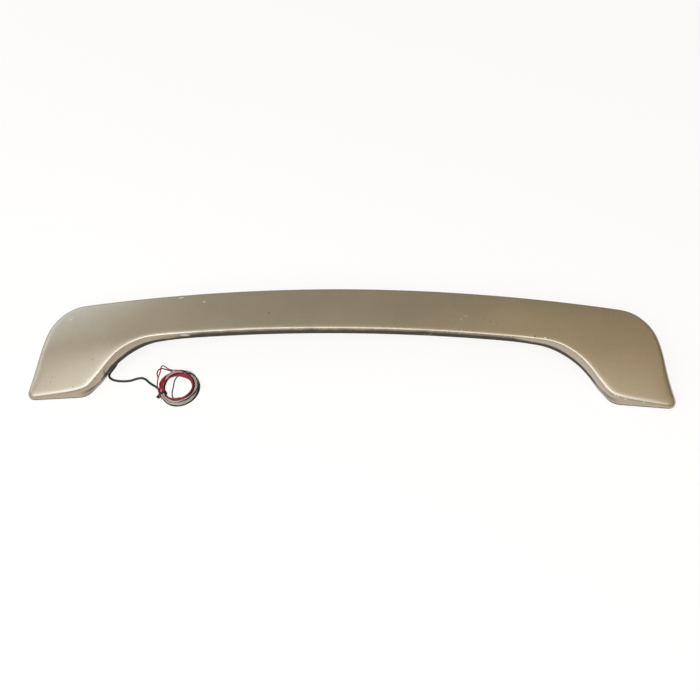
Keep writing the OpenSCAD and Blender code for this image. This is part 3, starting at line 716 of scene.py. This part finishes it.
class Lane:
    """One wire in the coil: the angles, radii and heights of its points, and the bounds of its radii."""

    def __init__(self, knots, diameter, order):
        knots = np.array(knots, float)
        rim = np.array(RIM, float)
        self.angles = np.arange(knots[0, 0] + FIRST_TURN, knots[-1, 0] + 0.1, TURN_STEP)
        self.aims = np.interp(self.angles, knots[:, 0], knots[:, 1])
        for _ in range(6):
            self.aims[1:-1] = (self.aims[:-2] + 2 * self.aims[1:-1] + self.aims[2:]) / 4
        turns = (self.angles - self.angles[0]) / 360
        self.radii = self.aims.copy()
        self.heights = diameter / 2 + START_LIFT + turns * TURN_RISE + WIRE_RISE * order
        self.floor = diameter / 2 + PLAY
        inner, outer = (np.interp(self.angles % 360, rim[:, 0], rim[:, side]) for side in (1, 2))
        place = np.arange(len(self.angles))
        free = np.minimum(place, place[::-1]) < LOOSE_POINTS
        self.inner = np.minimum(inner + diameter / 2, self.aims)
        self.outer = np.where(free, np.maximum(outer - diameter / 2, self.aims), outer - diameter / 2)

    def settle(self):
        """Smooths the wire, and draws it towards its lane and down."""
        for line in (self.radii, self.heights):
            line[1:-1] += (line[:-2] + line[2:] - 2 * line[1:-1]) * SMOOTHING
        self.radii += (self.aims - self.radii) * PULL_TO_LANE
        self.heights -= SINKING

    def hold(self):
        """Keeps the wire above the floor and inside the coil."""
        np.clip(self.heights, self.floor, HIGHEST, out=self.heights)
        np.clip(self.radii, self.inner, self.outer, out=self.radii)

    def points(self):
        turn = np.radians(self.angles)
        return np.column_stack([
            COIL[0] + self.radii * np.cos(turn), COIL[1] + self.radii * np.sin(turn), self.heights,
        ])


def push_apart(one, i, other, j, gap):
    """Moves a point of one wire and a point of another apart where they lie nearer than gap."""
    sideways = other.radii[j] - one.radii[i]
    upwards = other.heights[j] - one.heights[i]
    apart = math.hypot(sideways, upwards)
    if apart < gap:
        push = (gap - apart) / 2 / max(apart, 1e-6)
        one.radii[i] -= sideways * push
        other.radii[j] += sideways * push
        one.heights[i] -= upwards * push
        other.heights[j] += upwards * push


def wind_coil(diameter):
    """Lays the wires' turns side by side and on each other, and gives each wire's points."""
    lanes = {name: Lane(LANES[name], diameter, order) for order, name in enumerate(WINDING_ORDER)}
    stations = {}
    for lane in lanes.values():
        for i, angle in enumerate(lane.angles):
            stations.setdefault(int(round(angle)) % 360, []).append((lane, i))
    for turn in range(ROUNDS):
        for members in stations.values():
            for (one, i), (other, j) in itertools.combinations(members, 2):
                push_apart(one, i, other, j, diameter + PLAY)
        for lane in lanes.values():
            if turn < SETTLING_ROUNDS:
                lane.settle()
            lane.hold()
    return {name: lane.points() for name, lane in lanes.items()}


def run_lead():
    """Lays the sheathed lead, and the coiled wires with their bare ends and the tie."""
    lead = settings("lead")
    sheath = insulation("black_sheath", (0.014, 0.013, 0.013), 0.5)
    start = [HOLE + HOLE_WAY * (NOZZLE_END + d) for d in (0.1, 1.6, 3.2)]
    route = through(start + [np.array(p) for p in LEAD_ROUTE], 6) * MM
    cord = open_curve("lead_sheath", route, lead.sheath_diameter, sheath, ["lead_run"])
    copper = machined_metal("copper", (0.62, 0.28, 0.14), (0.3, 0.14, 0.08), 0.35)
    last = np.array(LEAD_ROUTE[-1])
    before = np.array(LEAD_ROUTE[-2])
    along = (last - before) / np.linalg.norm(last - before)
    side = np.array([-along[1], along[0], 0.0])
    # Where each wire leaves the sheath's end: across it and up
    fan = {"black": (-1.1, 0.3), "red": (1.1, 0.3), "white": (0.0, -0.9)}
    laid = []
    cords = []
    for name, lane in wind_coil(lead.wire_diameter / MM).items():
        across, up = fan[name]
        out = last + side * across + np.array([0, 0, up])
        tail = [np.array([COIL[0] + x, COIL[1] + y, z]) for x, y, z in TAILS[name]]
        knots = [out - along * 2, out + along * 1.0] + list(lane[2::3]) + tail
        points = through(knots, 3) * MM
        laid.append(points / MM)
        finish = insulation(name + "_insulation", getattr(lead, name), 0.38)
        wire = open_curve(name + "_wire", points, lead.wire_diameter, finish, ["lead_coil"])
        way = points[-1] - points[-2]
        way = way / np.linalg.norm(way) * lead.strip_length
        bare = strand_end(name + "_wire_end", points[-1], way, lead.wire_diameter * 0.55, copper)
        cords.append((wire, points, [bare]))
    cords[0][2].append(wrap_tie(np.vstack(laid)))


def strand_end(name, start, way, diameter, finish):
    """Bare copper strands at a wire's end: six round a middle one."""
    bm = bmesh.new()
    length = float(np.linalg.norm(way))
    place = Matrix.Translation(Vector(start)) @ facing(way)
    for i in range(7):
        angle = i * math.tau / 6
        offset = 0.0 if i == 6 else diameter * 0.33
        shift = Matrix.Translation((offset * math.cos(angle), offset * math.sin(angle), length / 2))
        made = bmesh.ops.create_cone(
            bm, cap_ends=True, segments=8, radius1=diameter * 0.17, radius2=diameter * 0.15, depth=length,
            matrix=place @ shift,
        )
        bmesh.ops.recalc_face_normals(bm, faces=list({f for v in made["verts"] for f in v.link_faces}))
    return put_away(bm, name, finish)


def wrap_tie(points):
    """A tie pulled tight round one side of the coil, with its head outside and a short tail."""
    flat = points[:, :2] - COIL
    angle = np.degrees(np.arctan2(flat[:, 1], flat[:, 0])) % 360
    reach = np.linalg.norm(flat, axis=1)
    near = (np.abs(angle - TIE_TURN) < 6) & (reach > 20)
    radius = settings("lead").wire_diameter / MM / 2
    low = reach[near].min() - radius
    high = reach[near].max() + radius
    top = points[near, 2].max() + radius + 0.1
    bottom = 0.1
    corners = [
        (low + TIE_CORNER, top - TIE_CORNER, 90, 180), (low + TIE_CORNER, bottom + TIE_CORNER, 180, 270),
        (high - TIE_CORNER, bottom + TIE_CORNER, 270, 360), (high - TIE_CORNER, top - TIE_CORNER, 0, 90),
    ]
    bend = TIE_CORNER + TIE_THICK / 2
    bm = bmesh.new()
    rings = []
    for r, z, start, end in corners:
        for i in range(5):
            a = math.radians(start + (end - start) * i / 4)
            middle_r, middle_z = r + bend * math.cos(a), z + bend * math.sin(a)
            ring = []
            for out, across in ((-0.5, -0.5), (0.5, -0.5), (0.5, 0.5), (-0.5, 0.5)):
                rr = middle_r + out * TIE_THICK * math.cos(a)
                zz = middle_z + out * TIE_THICK * math.sin(a)
                ring.append(bm.verts.new((rr * MM, across * TIE_WIDE * MM, max(zz, 0.02) * MM)))
            rings.append([bm.edges.new((ring[k], ring[(k + 1) % 4])) for k in range(4)])
    for a, b in zip(rings, rings[1:] + rings[:1]):
        bmesh.ops.bridge_loops(bm, edges=a + b)
    outside = high + TIE_THICK
    head_size = Matrix.Diagonal((3.4 * MM, 5.2 * MM, 4.8 * MM, 1))
    head = Matrix.Translation(((outside + 1.4) * MM, 0, 2.9 * MM)) @ head_size
    tail_size = Matrix.Diagonal((2.6 * MM, TIE_WIDE * MM, TIE_THICK * MM, 1))
    tilt = Matrix.Rotation(math.radians(-12), 4, "Y")
    tail = Matrix.Translation(((outside + 3.6) * MM, 0, 3.6 * MM)) @ tilt @ tail_size
    bmesh.ops.create_cube(bm, size=1, matrix=head)
    bmesh.ops.create_cube(bm, size=1, matrix=tail)
    bmesh.ops.recalc_face_normals(bm, faces=bm.faces)
    bevel_edges(bm, bm.edges[:], 0.25 * MM)
    turn = Matrix.Rotation(math.radians(TIE_TURN), 4, "Z")
    place = Matrix.Translation((COIL[0] * MM, COIL[1] * MM, 0)) @ turn
    bmesh.ops.transform(bm, matrix=place, verts=bm.verts)
    nylon = moulded_plastic("tie_nylon", (0.012, 0.012, 0.012), 900, 0.42)
    return put_away(bm, "cable_tie", nylon, 40, ["lead_tie"])


def shape_grommet():
    """Rubber grommet turned about the hole's axis."""
    bore, flange, neck = 2.4, 8.5, 3.4
    profile = [
        (bore, -NOZZLE_END), (3.4, -NOZZLE_END), (3.75, -6.2), (4.7, -3.2), (5.6, -2.75), (7.9, -2.05),
        (8.4, -1.6), (flange, -1.1), (8.2, -0.6), (neck, -0.55), (neck, 3.55), (8.2, 3.6), (flange, 4.1),
        (7.8, 5.55), (bore, 5.55),
    ]
    bm = bmesh.new()
    turn_profile(bm, [(r * MM, 0, z * MM) for r, z in profile], (0, 0, 0), 48)
    bmesh.ops.remove_doubles(bm, verts=bm.verts, dist=DOUBLES)
    bmesh.ops.recalc_face_normals(bm, faces=bm.faces)
    place = Matrix.Translation(Vector(HOLE * MM)) @ facing(-HOLE_WAY)
    bmesh.ops.transform(bm, matrix=place, verts=bm.verts)
    put_away(bm, "rubber_grommet", soft_rubber(), 30, ["lead_grommet"])


# The painted and moulded pieces

# Distance in metres from the shell's lower rim at which wear and the painted shade end
RIM_REACH = 0.022
# Middles of the left foot's inserts in mm, which the right foot's mirror
INSERTS = [(-580, -74.788), (-580, -20.788), (-555, 33.212)]


def shape_shell():
    """The painted upper skin, with smooth curves and a measure of how near its rim is."""
    bm = merged_copy("upper_skin")
    shell = put_away(bm, "painted_shell", champagne_paint(), 40, ["upper_skin"])
    soften_ridge(shell, tag_rim(shell))
    add_subdivision(shell, 1)


def tag_rim(shell):
    """Stores 1 at the shell's lower rim, which falls to 0 at RIM_REACH from it, and gives the distances."""
    bm = bmesh.new()
    bm.from_mesh(shell.data)
    places = [v.co.copy() for e in sharp_edges(bm, 55) for v in e.verts if not at_lens(v.co)]
    bm.free()
    tree = KDTree(len(places))
    for i, place in enumerate(places):
        tree.insert(place, i)
    tree.balance()
    distances = [tree.find(v.co)[2] for v in shell.data.vertices]
    attribute = shell.data.attributes.new("rim", "FLOAT", "POINT")
    attribute.data.foreach_set("value", [max(0.0, 1 - away / RIM_REACH) for away in distances])
    return distances


def at_lens(place):
    """Tells whether a place lies at the lens's cutout in the trailing edge."""
    return abs(place.x) < 0.176 and place.y > 0.06 and place.z > 0.0735


def soften_ridge(shell, distances):
    """Gives the front edge a fuller rounding, which fades out on the walls, the top and towards the rear."""
    group = shell.vertex_groups.new(name="ridge")
    for vertex, away in zip(shell.data.vertices, distances):
        behind = vertex.co.y + 0.1 * max(0.0, abs(vertex.co.x) - 0.3)
        weight = ramp(away, 0.004, 0.011) * ramp(away, 0.044, 0.028) * ramp(behind, 0.05, 0.02)
        if weight > 0:
            group.add([vertex.index], weight, "REPLACE")
    modifier = shell.modifiers.new("Ridge", "SMOOTH")
    modifier.vertex_group = group.name
    modifier.factor = 0.5
    modifier.iterations = 30


def ramp(value, low, high):
    """Rises smoothly from 0 to 1 as value goes from low to high, and falls where high is the lower one."""
    t = min(max((value - low) / (high - low), 0.0), 1.0)
    return t * t * (3 - 2 * t)


def shape_panel():
    """The lower skin in grained plastic."""
    plastic = moulded_plastic("panel_plastic")
    put_away(merged_copy("lower_skin"), "under_panel", plastic, 30, ["lower_skin"])


def shape_feet():
    """Base plates keep their solids, foam pads and inserts get their own detail."""
    plastic = moulded_plastic("foot_plastic")
    foam = soft_foam("foot_foam")
    brass = machined_metal("insert_brass", (0.66, 0.47, 0.2), (0.3, 0.2, 0.09), 0.32)
    for side in ("left", "right"):
        paint_node("foot_base_" + side, plastic)
        bm = merged_copy("foot_foam_" + side, quads=False)
        soften_corners(bm, 2, 0.6 * MM)
        bmesh.ops.triangulate(bm, faces=bm.faces)
        put_away(bm, "foam_pad_" + side, foam, 50, ["foot_foam_" + side])
        shape_inserts(side, brass)


def shape_inserts(side, brass):
    """Brass inserts with a ring in the bore for each turn of the thread, and a groove round the outside."""
    feet = settings("feet")
    sign = 1 if side == "left" else -1
    heights = np.array([v.co for v in NODES["inserts_" + side].data.vertices])[:, 2]
    low, high = heights.min(), heights.max()
    pitch = feet.thread_pitch
    crest, root, groove, outside = 2.5 * MM, 2.95 * MM, 4.1 * MM, 4.45 * MM
    thread = [(root, low)]
    for i in range(int(round((high - low) / pitch))):
        z = low + i * pitch
        thread += [(crest, z + 0.12 * pitch), (root, z + 0.5 * pitch), (crest, z + 0.88 * pitch)]
    thread.append((root, high))
    back = [
        (groove, high), (outside, high - 0.35 * MM), (outside, high - 4 * MM), (groove, high - 4.4 * MM),
        (groove, low + 4.4 * MM), (outside, low + 4 * MM), (outside, low + 0.35 * MM), (4.2 * MM, low),
    ]
    bm = bmesh.new()
    for x, y in INSERTS:
        middle = sign * x * MM
        profile = [(middle + r, y * MM, z) for r, z in thread + back]
        turn_profile(bm, profile, (middle, y * MM, 0), feet.facets)
    bmesh.ops.remove_doubles(bm, verts=bm.verts, dist=DOUBLES)
    bmesh.ops.recalc_face_normals(bm, faces=bm.faces)
    put_away(bm, "brass_inserts_" + side, brass, 30, ["inserts_" + side])


def shape_lamp():
    """The fluted lens, and finishes for the lamp's inner solids and the lead inside the blade."""
    bm = merged_copy("lamp_lens", quads=False)
    soften_corners(bm, 1, 0.35 * MM)
    put_away(bm, "fluted_lens", red_lens(), 40, ["lamp_lens"])
    steel = machined_metal("plated_steel", (0.56, 0.56, 0.57), (0.33, 0.32, 0.3), 0.3)
    paint_node("lamp_housing", moulded_plastic("housing_plastic"))
    paint_node("lamp_seal", soft_foam("seal_foam"))
    paint_node("lamp_board", circuit_board())
    paint_node("lamp_leds", insulation("light_resin", (0.75, 0.2, 0.16), 0.2))
    paint_node("lamp_screws", steel)
    paint_node("lamp_clips", steel)
    paint_node("lamp_lead", insulation("inner_sheath", (0.014, 0.013, 0.013), 0.5))
    paint_node("lead_clips", natural_nylon())


# The stage

FLOOR_REACH = 30
# How far the floor lies below the part, in metres
FLOOR_DROP = 0.0004
# Each light's property, place, point aimed at, size in metres, and colour
LIGHTS = [
    ("window", (-2.4, 1.0, 1.4), (-0.2, 0, 0.05), (2.6, 1.5), (0.78, 0.89, 1.0)),
    ("front", (-0.4, -1.4, 1.7), (-0.4, 0, 0.05), (3.6, 1.3), (0.9, 0.94, 1.0)),
    ("left_lamp", (-1.05, -0.7, 1.9), (-0.5, 0, 0.05), (1.2, 1.0), (0.86, 0.93, 1.0)),
    ("right_lamp", (1.4, 0.0, 1.9), (0.45, 0, 0.05), (2.4, 1.6), (1.0, 0.66, 0.32)),
]


def place_camera():
    """Aims the camera, and turns it about the line of sight."""
    view = settings("camera")
    back = Vector((
        math.sin(view.azimuth) * math.cos(view.elevation),
        -math.cos(view.azimuth) * math.cos(view.elevation),
        math.sin(view.elevation),
    ))
    right = (-back).cross(Vector((0, 0, 1))).normalized()
    up = right.cross(-back)
    across = right * math.cos(view.roll) + up * math.sin(view.roll)
    upright = up * math.cos(view.roll) - right * math.sin(view.roll)
    data = bpy.data.cameras.new("camera")
    data.lens = view.focal_length
    data.sensor_width = 36
    data.clip_start = 0.05
    camera = bpy.data.objects.new("camera", data)
    place = Vector(view.aim) + back * view.distance
    camera.matrix_world = Matrix.Translation(place) @ Matrix((across, upright, back)).transposed().to_4x4()
    bpy.context.scene.collection.objects.link(camera)
    bpy.context.scene.camera = camera


def area_light(name, place, aim, size, colour, strength):
    """A rectangular light at a place, which faces another."""
    data = bpy.data.lights.new(name, "AREA")
    data.shape = "RECTANGLE"
    data.size, data.size_y = size
    data.energy = strength
    data.color = colour
    lamp = bpy.data.objects.new(name, data)
    lamp.matrix_world = Matrix.Translation(Vector(place)) @ facing(Vector(place) - Vector(aim))
    bpy.context.scene.collection.objects.link(lamp)


def floor_finish(colour):
    """A floor that lights the part as a plain one does, and shows white with a soft shadow."""
    m = finish_named("floor")
    seen = m.ray("Camera").more(m.ray("Glossy")).more(m.ray("Transmission"))
    darker = [c * 0.92 for c in colour]
    lit = m.node("BsdfDiffuse", {}, {"Color": m.mix(m.noise(3.0) * 0.2, colour, darker)})
    glow = m.node("Emission", {}, {"Color": (1, 1, 1), "Strength": 0.86})
    white = m.node("AddShader", {}, {0: lit, 1: glow})
    return m.show(m.node("MixShader", {}, {0: seen, 1: lit, 2: white}))


def sky_finish(strength):
    """A sky that is cool and bright at the left, warm and dim at the right, and white behind the part."""
    world = bpy.data.worlds.new("sky")
    bpy.context.scene.world = world
    m = Finish(world)
    side = m.axis("X")
    cool = m.node("Background", {}, {"Color": (0.97, 1.08, 1.17), "Strength": strength})
    warm = m.node("Background", {}, {"Color": (0.72, 0.64, 0.52), "Strength": strength})
    dark = m.node("Background", {}, {"Color": (0.3, 0.24, 0.17), "Strength": strength})
    even = m.node("MixShader", {}, {0: m.step(side, -0.75, 0.55), 1: cool, 2: warm})
    even = m.node("MixShader", {}, {0: m.step(side, 0.35, 0.85), 1: even, 2: dark})
    white = m.node("Background", {}, {"Color": (1, 1, 1), "Strength": 1.0})
    seen = m.ray("Camera").more(m.ray("Transmission"))
    m.show(m.node("MixShader", {}, {0: seen, 1: even, 2: white}), "OutputWorld")


def build_stage():
    """The floor, the lights and the sky."""
    stage = settings("stage")
    bm = bmesh.new()
    bmesh.ops.create_grid(bm, x_segments=1, y_segments=1, size=FLOOR_REACH)
    mesh = bpy.data.meshes.new("floor")
    bm.to_mesh(mesh)
    bm.free()
    mesh.materials.append(floor_finish(stage.floor))
    floor = bpy.data.objects.new("floor", mesh)
    floor.location.z = -FLOOR_DROP
    bpy.context.scene.collection.objects.link(floor)
    for name, place, aim, size, colour in LIGHTS:
        area_light(name, place, aim, size, colour, getattr(stage, name))
    sky_finish(stage.sky)
    bpy.context.scene.view_settings.view_transform = "Standard"


# Operators, in the order in which main calls them

class SPOILER_OT_camera(bpy.types.Operator):
    """Place the camera"""
    bl_idname = "spoiler.camera"
    bl_label = "Place the camera"

    def execute(self, context):
        place_camera()
        return {"FINISHED"}


class SPOILER_OT_lead(bpy.types.Operator):
    """Lay the sheathed lead, its coiled wires, the tie and the grommet"""
    bl_idname = "spoiler.lead"
    bl_label = "Lay the lead"

    def execute(self, context):
        run_lead()
        shape_grommet()
        return {"FINISHED"}


class SPOILER_OT_shell(bpy.types.Operator):
    """Paint the upper skin"""
    bl_idname = "spoiler.shell"
    bl_label = "Paint the shell"

    def execute(self, context):
        shape_shell()
        return {"FINISHED"}


class SPOILER_OT_panel(bpy.types.Operator):
    """Finish the lower skin"""
    bl_idname = "spoiler.under_panel"
    bl_label = "Finish the under panel"

    def execute(self, context):
        shape_panel()
        return {"FINISHED"}


class SPOILER_OT_feet(bpy.types.Operator):
    """Finish the feet, their foam and their inserts"""
    bl_idname = "spoiler.feet"
    bl_label = "Finish the feet"

    def execute(self, context):
        shape_feet()
        return {"FINISHED"}


class SPOILER_OT_lamp(bpy.types.Operator):
    """Finish the stop lamp"""
    bl_idname = "spoiler.lamp"
    bl_label = "Finish the stop lamp"

    def execute(self, context):
        shape_lamp()
        return {"FINISHED"}


class SPOILER_OT_stage(bpy.types.Operator):
    """Build the floor and the lights"""
    bl_idname = "spoiler.stage"
    bl_label = "Build the stage"

    def execute(self, context):
        build_stage()
        return {"FINISHED"}


class SPOILER_PT_panel(bpy.types.Panel):
    bl_label = "Spoiler"
    bl_idname = "SPOILER_PT_panel"
    bl_space_type = "VIEW_3D"
    bl_region_type = "UI"
    bl_category = "Spoiler"

    def draw(self, context):
        for title, group, operator in STEPS:
            box = self.layout.box()
            box.label(text=title)
            if group:
                values = settings(group)
                for key in values.__annotations__:
                    box.prop(values, key)
            box.operator("spoiler." + operator)


GROUPS = {
    "camera": SpoilerCamera, "lead": SpoilerLead, "paint": SpoilerPaint,
    "lamp": SpoilerLamp, "feet": SpoilerFeet, "stage": SpoilerStage,
}
# Each step's title, property group and operator
STEPS = [
    ("Camera", "camera", "camera"), ("Lead", "lead", "lead"), ("Shell", "paint", "shell"),
    ("Under panel", None, "under_panel"), ("Feet", "feet", "feet"), ("Stop lamp", "lamp", "lamp"),
    ("Stage", "stage", "stage"),
]
CLASSES = list(GROUPS.values()) + [
    SPOILER_OT_camera, SPOILER_OT_lead, SPOILER_OT_shell, SPOILER_OT_panel, SPOILER_OT_feet,
    SPOILER_OT_lamp, SPOILER_OT_stage, SPOILER_PT_panel,
]


def register():
    for item in CLASSES:
        bpy.utils.register_class(item)
    for name, group in GROUPS.items():
        setattr(bpy.types.Scene, "spoiler_" + name, PointerProperty(type=group))


def unregister():
    for name in GROUPS:
        delattr(bpy.types.Scene, "spoiler_" + name)
    for item in reversed(CLASSES):
        bpy.utils.unregister_class(item)


def main():
    register()
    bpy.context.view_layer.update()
    for _title, _group, operator in STEPS:
        getattr(bpy.ops.spoiler, operator)()


if __name__ == "__main__":
    main()
